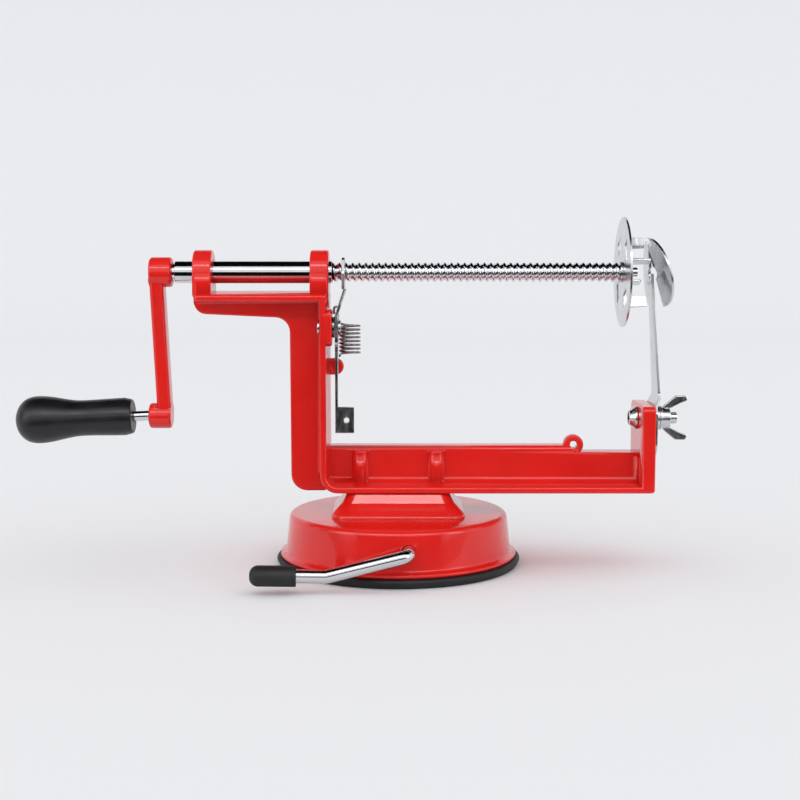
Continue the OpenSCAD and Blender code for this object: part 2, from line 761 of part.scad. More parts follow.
// Threaded stretch: planar rings whose radius follows a single start right hand helix
module thread(x0, x1) {
    step = thread_pitch / thread_steps;
    n = ceil((x1 - x0) / step);
    mean = rod_r - thread_depth / 2;
    function radius(x, a) = mean + thread_depth / 2 * cos(360 * (x + catch_top_x) / thread_pitch - a);
    rings = [for (i = [0 : n]) let (x = min(x0 + i * step, x1)) for (k = [0 : thread_sides - 1])
        let (a = k * 360 / thread_sides, r = radius(x, a)) [x, r * cos(a), r * sin(a)]];
    skin = [for (i = [0 : n - 1]) for (k = [0 : thread_sides - 1])
        let (a = i * thread_sides + k, b = i * thread_sides + (k + 1) % thread_sides)
        each [[a, a + thread_sides, b + thread_sides], [a, b + thread_sides, b]]];
    start = [for (k = [1 : thread_sides - 2]) [0, k, k + 1]];
    f = n * thread_sides;
    end = [for (k = [1 : thread_sides - 2]) [f, f + k + 1, f + k]];
    translate([0, 0, shaft_z]) polyhedron(rings, concat(skin, start, end));
}

module lead_screw() {
    disc_face = disc_x - washer_t;
    color(steel) {
        bar_x(neck_d / 2, -hub_right - neck_in, neck_in + neck_l + cut_over);
        bar_x(rod_r, -hub_right + neck_l, hub_right - neck_l - thread_left);
        thread(-thread_left - cut_over, disc_face);
        bar_x(stud_r, disc_face - cut_over, washer_t + disc_t + stud_l + cut_over);
    }
}

module disc_washer() {
    color(steel) difference() {
        bar_x(washer_r, disc_x - washer_t, washer_t);
        bar_x(stud_r + run_gap, disc_x - washer_t - cut_over, washer_t + 2 * cut_over);
    }
}

module prong_disc() {
    far = prong_in + prong_w;
    color(steel) translate([disc_x, 0, shaft_z]) rotate([-prong_turn, 0, 0]) difference() {
        union() {
            rotate([0, 90, 0]) cylinder(d = disc_d, h = disc_t, $fn = 96);
            for (i = [0 : prong_count - 1]) rotate([i * 360 / prong_count, 0, 0])
                translate([0, -disc_t, 0]) plate_y_prong();
        }
        for (i = [0 : prong_count - 1]) rotate([i * 360 / prong_count, 0, 0])
            translate([-cut_over, 0, prong_in]) cube([disc_t + 2 * cut_over, prong_l - disc_t, prong_w]);
        rotate([0, 90, 0]) cylinder(r = stud_r + run_gap, h = disc_d, center = true);
    }
}

// One prong: a sheet tab that stands on the disc along a radius
module plate_y_prong() {
    translate([0, disc_t / 2, 0]) plate_y(rounded([
        [0, prong_in, 0],
        [prong_l + disc_t, prong_in + prong_w * 0.1, prong_w * 0.08],
        [prong_l + disc_t, prong_in + prong_w * 0.9, prong_w * 0.08],
        [0, prong_in + prong_w, 0]]), disc_t);
}

module disc_nut() {
    color(steel) difference() {
        bar_x(nut_af / sqrt(3), disc_x + disc_t, nut_h, $fn = 6);
        bar_x(stud_r + seat_gap, disc_x + disc_t - cut_over, nut_h + 2 * cut_over);
    }
}

// Crank and handle

module crank_arm() {
    top = shaft_z - hub_d / 4;
    low = boss_axis_z + boss_end_d / 4;
    hub_left = -hub_right - hub_l;
    color(red) difference() {
        union() {
            bar_x(hub_d / 2, hub_left, hub_l);
            bar_x(boss_end_d / 2, -boss_right - hub_l, hub_l, 0, boss_axis_z);
            hull() {
                translate([hub_left + crank_arm_t / 2, 0, top]) slab(crank_arm_t, crank_arm_w, run_gap, edge_r);
                translate([-boss_right - crank_arm_t / 2, 0, low]) slab(crank_arm_t, crank_arm_w, run_gap, edge_r);
            }
        }
        bar_x(neck_d / 2 + seat_gap, -hub_right - neck_in - seat_gap, hub_l);
        handle_place() translate([0, 0, -pin_in]) cylinder(r = pin_r + seat_gap, h = pin_in + hub_l);
    }
}

// Place of the handle: Z runs out along the pin, from the boss's left face
module handle_place() {
    translate([-boss_right - hub_l, 0, boss_axis_z]) rotate([0, -90 - handle_droop, 0]) children();
}

module handle_pin() {
    reach = pin_bare + grip_l * pin_reach_share;
    color(steel) handle_place() rotate_extrude() polygon([
        [0, -pin_in + seat_gap], [pin_r, -pin_in + seat_gap], [pin_r, reach - pin_head_l],
        [pin_head_r, reach - pin_head_l], [pin_head_r, reach - pin_head_l / 2],
        [pin_r, reach], [0, reach]]);
}

module handle_grip() {
    reach = pin_bare + grip_l * pin_reach_share;
    color(black) handle_place() rotate_extrude() difference() {
        translate([0, pin_bare]) polygon(grip_outline());
        polygon([
            [-cut_over, pin_bare - cut_over], [pin_r + run_gap, pin_bare - cut_over],
            [pin_r + run_gap, reach - pin_head_l - soft_gap], [pin_head_r + soft_gap, reach - pin_head_l - soft_gap],
            [pin_head_r + soft_gap, reach + soft_gap], [-cut_over, reach + soft_gap]]);
    }
}

// Outline of the grip: shares of its length, with the radii at those places
function grip_radius(s) =
    let (neck = grip_neck_d / 2, flare = grip_flare_d / 2, bulb = grip_bulb_d / 2,
        neck_share = 0.42, flare_share = 0.06, bulb_share = 0.8)
    s < neck_share
        ? neck + (flare - neck) * (1 + cos(180 * (s - flare_share) / (neck_share - flare_share))) / 2
        : s < bulb_share
            ? neck + (bulb - neck) * (1 - cos(180 * (s - neck_share) / (bulb_share - neck_share))) / 2
            : bulb * sqrt(max(0, 1 - pow((s - bulb_share) / (1 - bulb_share), 2.4)));

function grip_outline() = concat(
    [[0, 0], [grip_flare_d / 2 - edge_r / 2, 0]],
    [for (i = [1 : 34]) let (s = 0.02 + 0.98 * sin(90 * i / 34)) [grip_radius(s), s * grip_l]]);

// Release lever

module catch_lever() {
    lean = atan((catch_x - catch_top_x) / (bend_top_z - bend_low_z));
    slope_l = (bend_top_z - bend_low_z) / cos(lean);
    front = -catch_front;
    back = -catch_back;
    color(steel) difference() {
        union() {
            plate_x(rounded([
                [front, pivot_z - catch_drop, catch_corner], [back, pivot_z - catch_drop, catch_corner],
                [back, bend_low_z, 0], [front, bend_low_z, 0]]), -catch_x, catch_t);
            plate_x([
                [front + stem_low_in, tab_z + tab_h / 2], [front + stem_low_in + stem_low_w, tab_z + tab_h / 2],
                [front + stem_top_in + stem_top_w, pivot_z - catch_drop + cut_over],
                [front + stem_top_in, pivot_z - catch_drop + cut_over]], -catch_x, catch_t);
            translate([-catch_x, 0, bend_low_z]) rotate([0, lean, 0]) plate_x([
                [front, -cut_over / 2], [back, -cut_over / 2],
                [-rod_r - hook_in, slope_l + cut_over / 3], [front, slope_l + cut_over / 3]], 0, catch_t);
            catch_hook();
            thumb_tab();
        }
        bar_x(pin_rivet_r + run_gap, -catch_x - catch_t, 3 * catch_t, -pivot_y, pivot_z);
    }
}

// Upper end with the concave edge that runs in the thread
module catch_hook() {
    difference() {
        plate_x(rounded([
            [-catch_front, bend_top_z, 0], [-rod_r - hook_in, bend_top_z, 0],
            [-rod_r + tooth_in, shaft_z - tooth_half, 0], [-rod_r + tooth_in, shaft_z + tooth_half, 0],
            [-rod_r - hook_in, catch_tip_z, hook_r / 2], [-catch_front + hook_top_in, catch_tip_z, hook_r],
            [-catch_front, shaft_z, hook_r]]), -catch_top_x - catch_t / 2, catch_t);
        bar_x(tooth_r + run_gap, -catch_top_x - catch_t, 2 * catch_t);
        for (s = [-1, 1]) translate([-catch_top_x + s * (tooth_t + catch_t) / 2, 0, shaft_z])
            rotate([0, 90, 0]) cylinder(r = rod_r + soft_gap, h = catch_t, center = true);
    }
}

module thumb_tab() {
    front = -catch_front + stem_low_in;
    difference() {
        translate([-catch_x, front, tab_z - tab_h / 2]) cube([tab_w, catch_t, tab_h]);
        translate([-catch_x + tab_w * 0.6, front + catch_t / 2, tab_z]) rotate([90, 0, 0])
            cylinder(r = catch_t * 0.85, h = catch_t + 2 * cut_over, center = true);
    }
    translate([-catch_x, front, tab_z - tab_h / 2]) cube([catch_t, catch_t * 2, tab_h]);
}

module catch_pin() {
    left = -column_back;
    color(steel) {
        bar_x(pin_rivet_r, left - pin_cap_h, column_back - catch_x + catch_t + 2 * pin_cap_h, -pivot_y, pivot_z);
        bar_x(pin_cap_r, left - pin_cap_h, pin_cap_h, -pivot_y, pivot_z);
        bar_x(pin_cap_r, -catch_x + catch_t + catch_gap, pin_cap_h, -pivot_y, pivot_z);
    }
}

module catch_spacer() {
    left = -ear_face;
    color(dark_steel) difference() {
        bar_x(spacer_r, left, -catch_x - catch_gap - left, -pivot_y, pivot_z);
        bar_x(pin_rivet_r + seat_gap, left - cut_over, catch_x, -pivot_y, pivot_z);
    }
}

// Spring: one unbroken wire, from its upper hook through the coil to its lower leg
function coil_point(a) = [coil_x + coil_d / 2 * cos(a), coil_y + coil_d / 2 * sin(a),
    coil_top - coil_pitch * (a - 270) / 360];
spring_path = concat(
    [[hook_left_x, hook_y, hook_end_z], [hook_left_x, hook_y, hook_bend_z],
        [hook_left_x + coil_pitch * 0.2, hook_y, hook_bend_z + wire_gap],
        [hook_right_x - coil_pitch * 0.2, hook_y, hook_bend_z + wire_gap],
        [hook_right_x, hook_y, hook_bend_z], [hook_right_x, hook_y, coil_top + coil_pitch * 1.6],
        [hook_right_x + wire_gap, hook_y - wire_d / 6, coil_top + coil_pitch * 0.8],
        [coil_x - coil_d / 3, coil_y - coil_d / 2, coil_top + coil_pitch * 0.3]],
    [for (i = [0 : coil_turns * 8 - 2]) coil_point(270 + i * 45)],
    [[leg_x, coil_y - coil_d / 2, coil_end_z - wire_d / 8], [leg_x, -pivot_y - wire_d / 2, coil_end_z]]);
function spring_gap(k) = min([for (i = [0 : len(spring_path) - 1]) for (j = [0 : len(spring_path) - 1])
    if (j >= i + 6) norm(spring_path[i] - spring_path[j])]) - wire_d;
echo(spring_least_gap = spring_gap(0));

module catch_spring() {
    color(dark_steel) swept_tube(spring_path, wire_d, 6);
}

// Blade and its fixing

// Foot and offset: the sheet's side profile, cut to the outline seen along the screw
module blade_foot() {
    low = bolt_z - foot_w * foot_h_share;
    high = neck_z + blade_t / 2;
    difference() {
        intersection() {
            plate_x(rounded([
                [-foot_w / 2, low, foot_corner], [foot_w / 2, low, foot_corner],
                [foot_w / 2, foot_top_z, foot_top_r], [strip_low_w / 2, neck_z, foot_top_r / 2],
                [strip_low_w / 2, high, 0], [-strip_low_w / 2, high, 0],
                [-strip_low_w / 2, neck_z, foot_top_r / 2], [-foot_w / 2, foot_top_z, foot_top_r]]),
                post_right - blade_t, strip_step + 4 * blade_t);
            plate_y([
                [post_right, low - cut_over], [post_right + blade_t, low - cut_over],
                [post_right + blade_t, step_low_z], [post_right + strip_step + blade_t, step_top_z],
                [post_right + strip_step + blade_t, high + cut_over], [post_right + strip_step, high + cut_over],
                [post_right + strip_step, step_top_z], [post_right, step_low_z]], 2 * foot_w);
        }
        bar_x(bolt_d / 2 + run_gap, post_right - cut_over, blade_t + 2 * cut_over, 0, bolt_z);
    }
}

// Place of the leaning strip: its foot is at the neck
module strip_place() {
    translate([post_right + strip_step, 0, neck_z]) rotate([0, -strip_lean, 0]) children();
}

module blade() {
    rise = (head_z - neck_z) / cos(strip_lean);
    color(steel) {
        blade_foot();
        strip_place() difference() {
            union() {
                plate_x([
                    [-strip_low_w / 2, -blade_t / 4], [strip_low_w / 2, -blade_t / 4],
                    [strip_top_w / 2, rise - head_r * 0.7], [strip_top_w / 2, rise],
                    [-strip_top_w / 2, rise], [-strip_top_w / 2, rise - head_r * 0.7]], 0, blade_t);
                intersection() {
                    translate([0, 0, rise]) rotate([0, 90, 0]) cylinder(r = head_r, h = blade_t, $fn = 96);
                    translate([-cut_over, 0, rise - head_r - cut_over])
                        cube([blade_t + 2 * cut_over, head_r + cut_over, 2 * (head_r + cut_over)]);
                }
            }
            translate([-cut_over, 0, rise]) rotate([0, 90, 0]) cylinder(r = skewer_r, h = blade_t + 2 * cut_over);
        }
        blade_petal(rise);
    }
}

// Bent half of the head: it joins the flat half at the top and stands off it lower down
module blade_petal(rise) {
    strip_place() translate([0, 0, rise + petal_drop]) rotate([0, -petal_lean, 0]) rotate([0, 0, petal_turn])
        translate([0, 0, -petal_drop]) difference() {
            intersection() {
                rotate([0, 90, 0]) cylinder(r = head_r, h = blade_t, $fn = 96);
                translate([-cut_over, -head_r - cut_over, -head_r - cut_over])
                    cube([blade_t + 2 * cut_over, head_r + cut_over, 2 * (head_r + cut_over)]);
            }
            translate([-cut_over, 0, 0]) rotate([0, 90, 0]) cylinder(r = skewer_r, h = blade_t + 2 * cut_over);
        }
}

module blade_bolt() {
    reach = post_t + blade_t + bolt_end_l;
    color(steel) difference() {
        union() {
            bar_x(bolt_d / 2, post_left - bolt_head_h / 2, reach + bolt_head_h / 2, 0, bolt_z);
            translate([post_left, 0, bolt_z]) rotate([0, -90, 0]) rotate_extrude() polygon([
                [0, 0], [bolt_head_r, 0], [bolt_head_r, bolt_head_h * 0.3],
                [bolt_head_r * 0.62, bolt_head_h], [0, bolt_head_h]]);
        }
        for (a = [0, 90]) translate([post_left - bolt_head_h, 0, bolt_z]) rotate([a, 0, 0])
            cube([bolt_head_h, recess_w, recess_l * 1.1], center = true);
    }
}

module blade_washer() {
    color(steel) difference() {
        bar_x(blade_washer_r, post_right + blade_t, blade_washer_t, 0, bolt_z);
        bar_x(bolt_d / 2 + run_gap, post_right, blade_t + 2 * blade_washer_t, 0, bolt_z);
    }
}

module wing_nut() {
    start = post_right + blade_t + blade_washer_t + run_gap;
    color(steel) translate([start, 0, bolt_z]) difference() {
        union() {
            rotate([0, 90, 0]) cylinder(r = wing_hub_r, h = wing_hub_l);
            rotate([0, 90, 0]) cylinder(r = wing_skirt_r, h = wing_hub_l / 4);
            for (s = [0, 180]) rotate([s, 0, 0]) plate_y(rounded(wing_reach * wing_shares), wing_t);
        }
        translate([-cut_over, 0, 0]) rotate([0, 90, 0]) cylinder(r = bolt_d / 2 + run_gap, h = wing_hub_l * 4);
    }
}

suction_cup();
base_housing();
cup_stem();
base_screws();
suction_lever();
lever_cap();
lever_clip();
frame_casting();
bearing_tube();
lead_screw();
crank_arm();
handle_pin();
handle_grip();
disc_washer();
prong_disc();
disc_nut();
catch_lever();
catch_pin();
catch_spacer();
catch_spring();
blade();
blade_bolt();
blade_washer();
wing_nut();
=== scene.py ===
import bpy
import bmesh
import json
import math
from mathutils import Matrix, Vector
from mathutils.bvhtree import BVHTree


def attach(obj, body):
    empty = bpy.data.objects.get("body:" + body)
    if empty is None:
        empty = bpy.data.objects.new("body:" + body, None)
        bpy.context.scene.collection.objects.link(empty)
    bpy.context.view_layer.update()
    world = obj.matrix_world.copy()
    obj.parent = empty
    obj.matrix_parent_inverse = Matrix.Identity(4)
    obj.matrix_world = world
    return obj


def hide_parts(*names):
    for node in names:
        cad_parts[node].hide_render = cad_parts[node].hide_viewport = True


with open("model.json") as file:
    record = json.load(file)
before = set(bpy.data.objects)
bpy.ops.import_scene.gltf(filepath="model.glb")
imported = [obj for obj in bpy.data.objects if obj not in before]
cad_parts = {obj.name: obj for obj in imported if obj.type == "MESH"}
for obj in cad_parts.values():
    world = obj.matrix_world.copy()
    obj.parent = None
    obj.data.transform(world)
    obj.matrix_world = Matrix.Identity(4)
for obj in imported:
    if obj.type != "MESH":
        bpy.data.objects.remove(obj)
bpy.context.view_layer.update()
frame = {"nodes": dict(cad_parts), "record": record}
nodes = frame["nodes"]
groups = frame["record"]["behaviour"]["bodies"]
slots = {part["node"]: part["material_slot"] for part in frame["record"]["subparts"]}
bodyOf = {node: body for body, members in groups.items() for node in members}
mm = 0.001
sharpAngle = math.radians(50)  # a fold sharper than this stays crisp in the shading
print("frame loaded:", len(nodes), "nodes")

# camera: the place, tilt and lens that put the object where the photograph has it
cameraSettings = {"place": (0.71, -575.0, 129.4), "tiltDown": 6.125, "lens": 63.48, "sensor": 36,
                  "shiftY": -0.00125, "clipStart": 10}
cameraData = bpy.data.cameras.new("photoCamera")
cameraData.lens = cameraSettings["lens"]
cameraData.sensor_width = cameraSettings["sensor"]
cameraData.shift_y = cameraSettings["shiftY"]
cameraData.clip_start = cameraSettings["clipStart"] * mm
photoCamera = bpy.data.objects.new("photoCamera", cameraData)
photoCamera.location = Vector(cameraSettings["place"]) * mm
photoCamera.rotation_euler = (math.radians(90 - cameraSettings["tiltDown"]), 0, 0)
bpy.context.scene.collection.objects.link(photoCamera)
bpy.context.scene.camera = photoCamera


def toLinear(hexText):
    # an sRGB hex colour as Blender's linear red, green, blue and alpha
    parts = [int(hexText[i:i + 2], 16) / 255 for i in (1, 3, 5)]
    return [c / 12.92 if c <= 0.04045 else ((c + 0.055) / 1.055) ** 2.4 for c in parts] + [1]


def addNode(holder, kind, settings, links=()):
    # one node of a material or world, with its settings by property or socket and what feeds it
    tree = holder.node_tree
    node = tree.nodes.new(kind)
    for key, value in settings.items():
        if isinstance(key, str) and hasattr(node, key):
            setattr(node, key, value)
        else:
            node.inputs[key].default_value = value
    for key, source in links:
        tree.links.new(source, node.inputs[key])
    return node


def newMaterial(name):
    material = bpy.data.materials.new(name)
    material.use_nodes = True
    material.node_tree.nodes.clear()
    return material


noiseSpan = (0.3, 0.7)  # where most of a noise's values lie
evenScale = (1, 1, 1)


def grained(material, coords, pattern, stretch=evenScale, lowHigh=None):
    # noise on Object coordinates, by size in millimetres and detail, spread between two values if given
    size, detail = pattern
    mapping = addNode(material, "ShaderNodeMapping", {"Scale": stretch},
                      [("Vector", coords.outputs["Object"])])
    noise = addNode(material, "ShaderNodeTexNoise", {"Scale": 1 / (size * mm), "Detail": detail},
                    [("Vector", mapping.outputs[0])])
    if lowHigh is None:
        return noise.outputs["Fac"]
    spread = addNode(material, "ShaderNodeMapRange",
                     {"From Min": noiseSpan[0], "From Max": noiseSpan[1], "To Min": lowHigh[0],
                      "To Max": lowHigh[1]}, [("Value", noise.outputs["Fac"])])
    return spread.outputs[0]


def makeSurface(settings):
    # a surface with three patterns: a grain in its relief, an uneven sheen and clouds of a deeper colour
    m = newMaterial(settings["name"])
    coords = addNode(m, "ShaderNodeTexCoord", {})
    grain = grained(m, coords, settings["grain"], settings["stretch"])
    sheen = grained(m, coords, settings["sheen"], settings["stretch"], settings["roughness"])
    clouds = grained(m, coords, settings["clouds"], evenScale, (0, 1))
    # a colour mix has its factor at input 0, its colours at inputs 6 and 7 and its result at output 2
    colour = addNode(m, "ShaderNodeMix", {"data_type": "RGBA", 6: toLinear(settings["colour"]),
                                          7: toLinear(settings["deepColour"])}, [(0, clouds)])
    strength, depth = settings["relief"]
    bump = addNode(m, "ShaderNodeBump", {"Strength": strength, "Distance": depth * mm}, [("Height", grain)])
    shader = addNode(m, "ShaderNodeBsdfPrincipled", settings["shader"],
                     [("Base Color", colour.outputs[2]), ("Roughness", sheen), ("Normal", bump.outputs[0])])
    addNode(m, "ShaderNodeOutputMaterial", {}, [("Surface", shader.outputs[0])])
    return m


# grain, sheen and clouds are a size in millimetres and a detail, relief is a strength and a depth
materials = {
    # gloss powder coat on a zinc casting: a deep even red with a soft orange peel in its reflections,
    # drawn about 2 mm wide, coarser than the real 0.5 mm so that it shows
    "red_enamel": makeSurface({
        "name": "glossPowderCoat", "colour": "#d41a13", "deepColour": "#c81610", "grain": (2.2, 1.5),
        "sheen": (14, 3), "clouds": (23.8, 2), "stretch": evenScale, "relief": (0.12, 0.05),
        "roughness": (0.17, 0.26),
        "shader": {"IOR": 1.5, "Specular IOR Level": 0.35, "Coat Weight": 0.45, "Coat Roughness": 0.04}}),
    # nickel chrome plate, polished: near mirror with faint turning marks
    "polished_steel": makeSurface({
        "name": "polishedChromePlate", "colour": "#dfe1e4", "deepColour": "#d2d4d8", "grain": (6, 3),
        "sheen": (6, 3), "clouds": (12, 2), "stretch": (12, 1, 1), "relief": (0.05, 0.01),
        "roughness": (0.06, 0.13), "shader": {"Metallic": 1}}),
    # stainless sheet, cold rolled and tumbled after stamping: bright, with soft streaks and clouding
    "sheet_steel": makeSurface({
        "name": "stampedStainlessSheet", "colour": "#d9dadb", "deepColour": "#cbcccf", "grain": (5, 3),
        "sheen": (5, 3), "clouds": (7, 2), "stretch": (2, 8, 1), "relief": (0.06, 0.01),
        "roughness": (0.16, 0.3), "shader": {"Metallic": 1}}),
    # spring steel wire, drawn and oiled: a darker grey with an uneven shine
    "dark_steel": makeSurface({
        "name": "drawnSpringWire", "colour": "#9a979a", "deepColour": "#7d797c", "grain": (1.5, 3),
        "sheen": (1.5, 3), "clouds": (3, 2), "stretch": evenScale, "relief": (0.1, 0.01),
        "roughness": (0.2, 0.34), "shader": {"Metallic": 1}}),
    # moulded polypropylene: satin black with a fine mould grain
    "black_plastic": makeSurface({
        "name": "mouldedPolypropylene", "colour": "#0d0d10", "deepColour": "#141418", "grain": (0.7, 2),
        "sheen": (9, 3), "clouds": (5.4, 4), "stretch": evenScale, "relief": (0.12, 0.04),
        "roughness": (0.3, 0.42), "shader": {"IOR": 1.49}}),
    # moulded nitrile rubber: matt black with a little bloom
    "black_rubber": makeSurface({
        "name": "mouldedNitrileRubber", "colour": "#0c0c0e", "deepColour": "#151517", "grain": (0.9, 2),
        "sheen": (11, 3), "clouds": (6.6, 4), "stretch": evenScale, "relief": (0.15, 0.05),
        "roughness": (0.5, 0.66), "shader": {"IOR": 1.52}})}
print("materials made:", len(materials))


def placed(shape, name):
    # a finished shape as an object of the scene
    mesh = bpy.data.meshes.new(name)
    shape.to_mesh(mesh)
    shape.free()
    piece = bpy.data.objects.new(name, mesh)
    bpy.context.scene.collection.objects.link(piece)
    return piece


def dress(piece, node):
    # gives a finished piece its material and its body, and hides the CAD node that it stands for
    piece.data.materials.append(materials[slots[node]])
    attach(piece, bodyOf[node])
    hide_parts(node)


def pick(geometry, kind):
    # the vertices or the edges of what an operator returns
    return [part for part in geometry if isinstance(part, kind)]


# rounding: angles in degrees, and reaches as shares of the rounding's width
roundingSettings = {"mergeMm": 0.002, "flatAngle": 1, "edgeAngle": 32, "segments": 3, "trials": 7,
                    "keepOff": 1.5, "strayReach": 0.62, "cornersBelow": 6, "leastArea": 1e-10,
                    "turnedOver": -0.1}


def mergedCopy(node):
    # the CAD node's mesh with its doubled points merged and its flat facets joined
    shape = bmesh.new()
    shape.from_mesh(nodes[node].data)
    bmesh.ops.remove_doubles(shape, verts=shape.verts, dist=roundingSettings["mergeMm"] * mm)
    bmesh.ops.dissolve_limit(shape, angle_limit=math.radians(roundingSettings["flatAngle"]),
                             use_dissolve_boundaries=False, verts=shape.verts, edges=shape.edges)
    return shape


def nearEdge(edge, points, reach):
    # whether an edge passes within reach of one of the points
    start, way = edge.verts[0].co, edge.verts[1].co - edge.verts[0].co
    leastSquare = 1e-12
    for point in points:
        share = min(1, max(0, (point - start).dot(way) / max(way.length_squared, leastSquare)))
        if (start + way * share - point).length < reach:
            return True
    return False


def strayPlaces(shape, surface, width):
    # where a rounded shape lies too far off the surface, or has a small face turned over against it
    rule = roundingSettings
    found = [v.co.copy() for v in shape.verts
             if surface.find_nearest(v.co)[3] > rule["strayReach"] * width * mm]
    for face in shape.faces:
        if len(face.verts) < rule["cornersBelow"] and face.calc_area() > rule["leastArea"]:
            middle = face.calc_center_median()
            if surface.find_nearest(middle)[1].dot(face.normal) < rule["turnedOver"]:
                found.append(middle)
    return found


def softened(node, name, width):
    # rounds a merged copy's outer edges, and leaves out those whose rounding would stray off the surface
    rule = roundingSettings
    plain = mergedCopy(node)
    surface = BVHTree.FromBMesh(plain)
    strays, edgesBefore = [], 0
    for trial in range(rule["trials"]):
        shape = plain.copy()
        edges = [e for e in shape.edges if e.is_manifold and e.is_convex
                 and e.calc_face_angle() > math.radians(rule["edgeAngle"])
                 and not nearEdge(e, strays, rule["keepOff"] * width * mm)]
        edgeCount = len(edges)
        bmesh.ops.bevel(shape, geom=edges, affect="EDGES", offset=width * mm, offset_type="OFFSET",
                        segments=rule["segments"], profile=0.5, clamp_overlap=False, material=-1,
                        loop_slide=True)
        found = strayPlaces(shape, surface, width)
        if not found or edgeCount == edgesBefore or trial == rule["trials"] - 1:
            break
        strays += found
        edgesBefore = edgeCount
        shape.free()
    plain.free()
    for face in shape.faces:
        face.smooth = True
    piece = placed(shape, name)
    piece.data.set_sharp_from_angle(angle=sharpAngle)
    shading = piece.modifiers.new("flatFaces", "WEIGHTED_NORMAL")
    shading.keep_sharp = True
    print(" ", name, "rounded in", trial + 1, "trials,", len(strays), "places left sharp")
    dress(piece, node)


def arcPath(points, radius, steps):
    # a line through the points with its corners turned to arcs
    path = [Vector(points[0])]
    for before, here, after in zip(points, points[1:], points[2:]):
        inward = (Vector(here) - Vector(before)).normalized()
        outward = (Vector(after) - Vector(here)).normalized()
        turn = inward.angle(outward)
        toMiddle = (outward - inward * inward.dot(outward)).normalized()
        middle = Vector(here) - inward * radius * math.tan(turn / 2) + toMiddle * radius
        for k in range(steps + 1):
            a = turn * k / steps
            path.append(middle - toMiddle * radius * math.cos(a) + inward * radius * math.sin(a))
    return path + [Vector(points[-1])]


def smoothLine(points, steps):
    # an even curve through the points
    points = [Vector(p) for p in points]
    line = []
    for i in range(len(points) - 1):
        a, b, c, d = points[max(i - 1, 0)], points[i], points[i + 1], points[min(i + 2, len(points) - 1)]
        for k in range(steps):
            t = k / steps
            line.append(0.5 * (2 * b + (c - a) * t + (2 * a - 5 * b + 4 * c - d) * t * t
                               + (3 * b - a - 3 * c + d) * t ** 3))
    return line + [points[-1]]


def sweptRod(name, path, diameter, sides):
    # a round wire or rod: one ring of edges extruded along its centre line
    shape = bmesh.new()
    last = len(path) - 1
    ways = [(path[min(i + 1, last)] - path[max(i - 1, 0)]).normalized() for i in range(len(path))]
    place = Matrix.Translation(path[0] * mm) @ ways[0].to_track_quat("Z", "Y").to_matrix().to_4x4()
    bmesh.ops.create_circle(shape, cap_ends=False, segments=sides, radius=diameter / 2 * mm, matrix=place)
    firstRing = ring = list(shape.edges)
    for i in range(1, len(path)):
        grown = bmesh.ops.extrude_edge_only(shape, edges=ring)["geom"]
        ringVerts = pick(grown, bmesh.types.BMVert)
        ring = [e for e in pick(grown, bmesh.types.BMEdge) if all(v in ringVerts for v in e.verts)]
        turn = ways[i - 1].rotation_difference(ways[i]).to_matrix()
        bmesh.ops.rotate(shape, cent=path[i - 1] * mm, matrix=turn, verts=ringVerts)
        bmesh.ops.translate(shape, vec=(path[i] - path[i - 1]) * mm, verts=ringVerts)
    for loop in (firstRing, ring):
        bmesh.ops.edgeloop_fill(shape, edges=loop)
    bmesh.ops.recalc_face_normals(shape, faces=shape.faces)
    for face in shape.faces:
        face.smooth = len(face.verts) == 4
    piece = placed(shape, name)
    piece.data.set_sharp_from_angle(angle=sharpAngle)
    return piece


# cast, stamped, turned and moulded pieces, with the rounding of each one's edges in millimetres
castings = [("frame_casting", "frameCasting", 0.9), ("base_housing", "baseHousing", 0.8),
            ("crank_arm", "crankArm", 1.2)]
stampings = [("blade", "curlBlade", 0.18), ("prong_disc", "prongDisc", 0.18),
             ("catch_lever", "releaseLever", 0.2), ("wing_nut", "wingNut", 0.35),
             ("blade_washer", "bladeWasher", 0.15), ("blade_bolt", "bladeBolt", 0.3),
             ("lever_clip", "leverClip", 0.15)]
turnings = [("bearing_tube", "bearingTube", 0.3), ("handle_pin", "handlePin", 0.3),
            ("disc_washer", "discWasher", 0.15), ("disc_nut", "discNut", 0.2),
            ("catch_pin", "leverRivet", 0.25), ("catch_spacer", "leverSpacer", 0.15),
            ("cup_stem", "cupStem", 0.3), ("base_screws", "baseScrews", 0.25)]
mouldings = [("suction_cup", "suctionCup", 0.4), ("lever_cap", "leverCap", 0.4),
             ("handle_grip", "handleGrip", 0.5)]
for node, name, width in castings + stampings + turnings + mouldings:
    softened(node, name, width)
print("castings, stampings, turnings and mouldings rounded")

# suction lever: a bent chromed rod, with the small crank inside the base and its two outer bends
leverSettings = {"diameter": 5.3, "sides": 32, "x": 4, "z": 13.5, "offset": 1.5, "outerBend": 3.6,
                 "outerSteps": 12, "innerBend": 1.6, "innerSteps": 4, "back": 48.575, "crankOut": 11.66,
                 "crankIn": 9.54, "front": -52.1, "joint": -44.1, "elbow": (-27, -54.7, 6.4),
                 "tip": (-54.5, -56.1, 7)}
leverX, leverZ = leverSettings["x"], leverSettings["z"]
leverLow = leverZ - leverSettings["offset"]
crankOut, crankIn = leverSettings["crankOut"], leverSettings["crankIn"]
leverJoint = (leverX, leverSettings["joint"], leverZ)
innerLine = arcPath([(leverX, leverSettings["back"], leverZ), (leverX, crankOut, leverZ),
                     (leverX, crankIn, leverLow), (leverX, -crankIn, leverLow),
                     (leverX, -crankOut, leverZ), leverJoint],
                    leverSettings["innerBend"], leverSettings["innerSteps"])
outerLine = arcPath([leverJoint, (leverX, leverSettings["front"], leverZ), leverSettings["elbow"],
                     leverSettings["tip"]], leverSettings["outerBend"], leverSettings["outerSteps"])
dress(sweptRod("suctionLever", innerLine + outerLine[1:], leverSettings["diameter"],
               leverSettings["sides"]), "suction_lever")

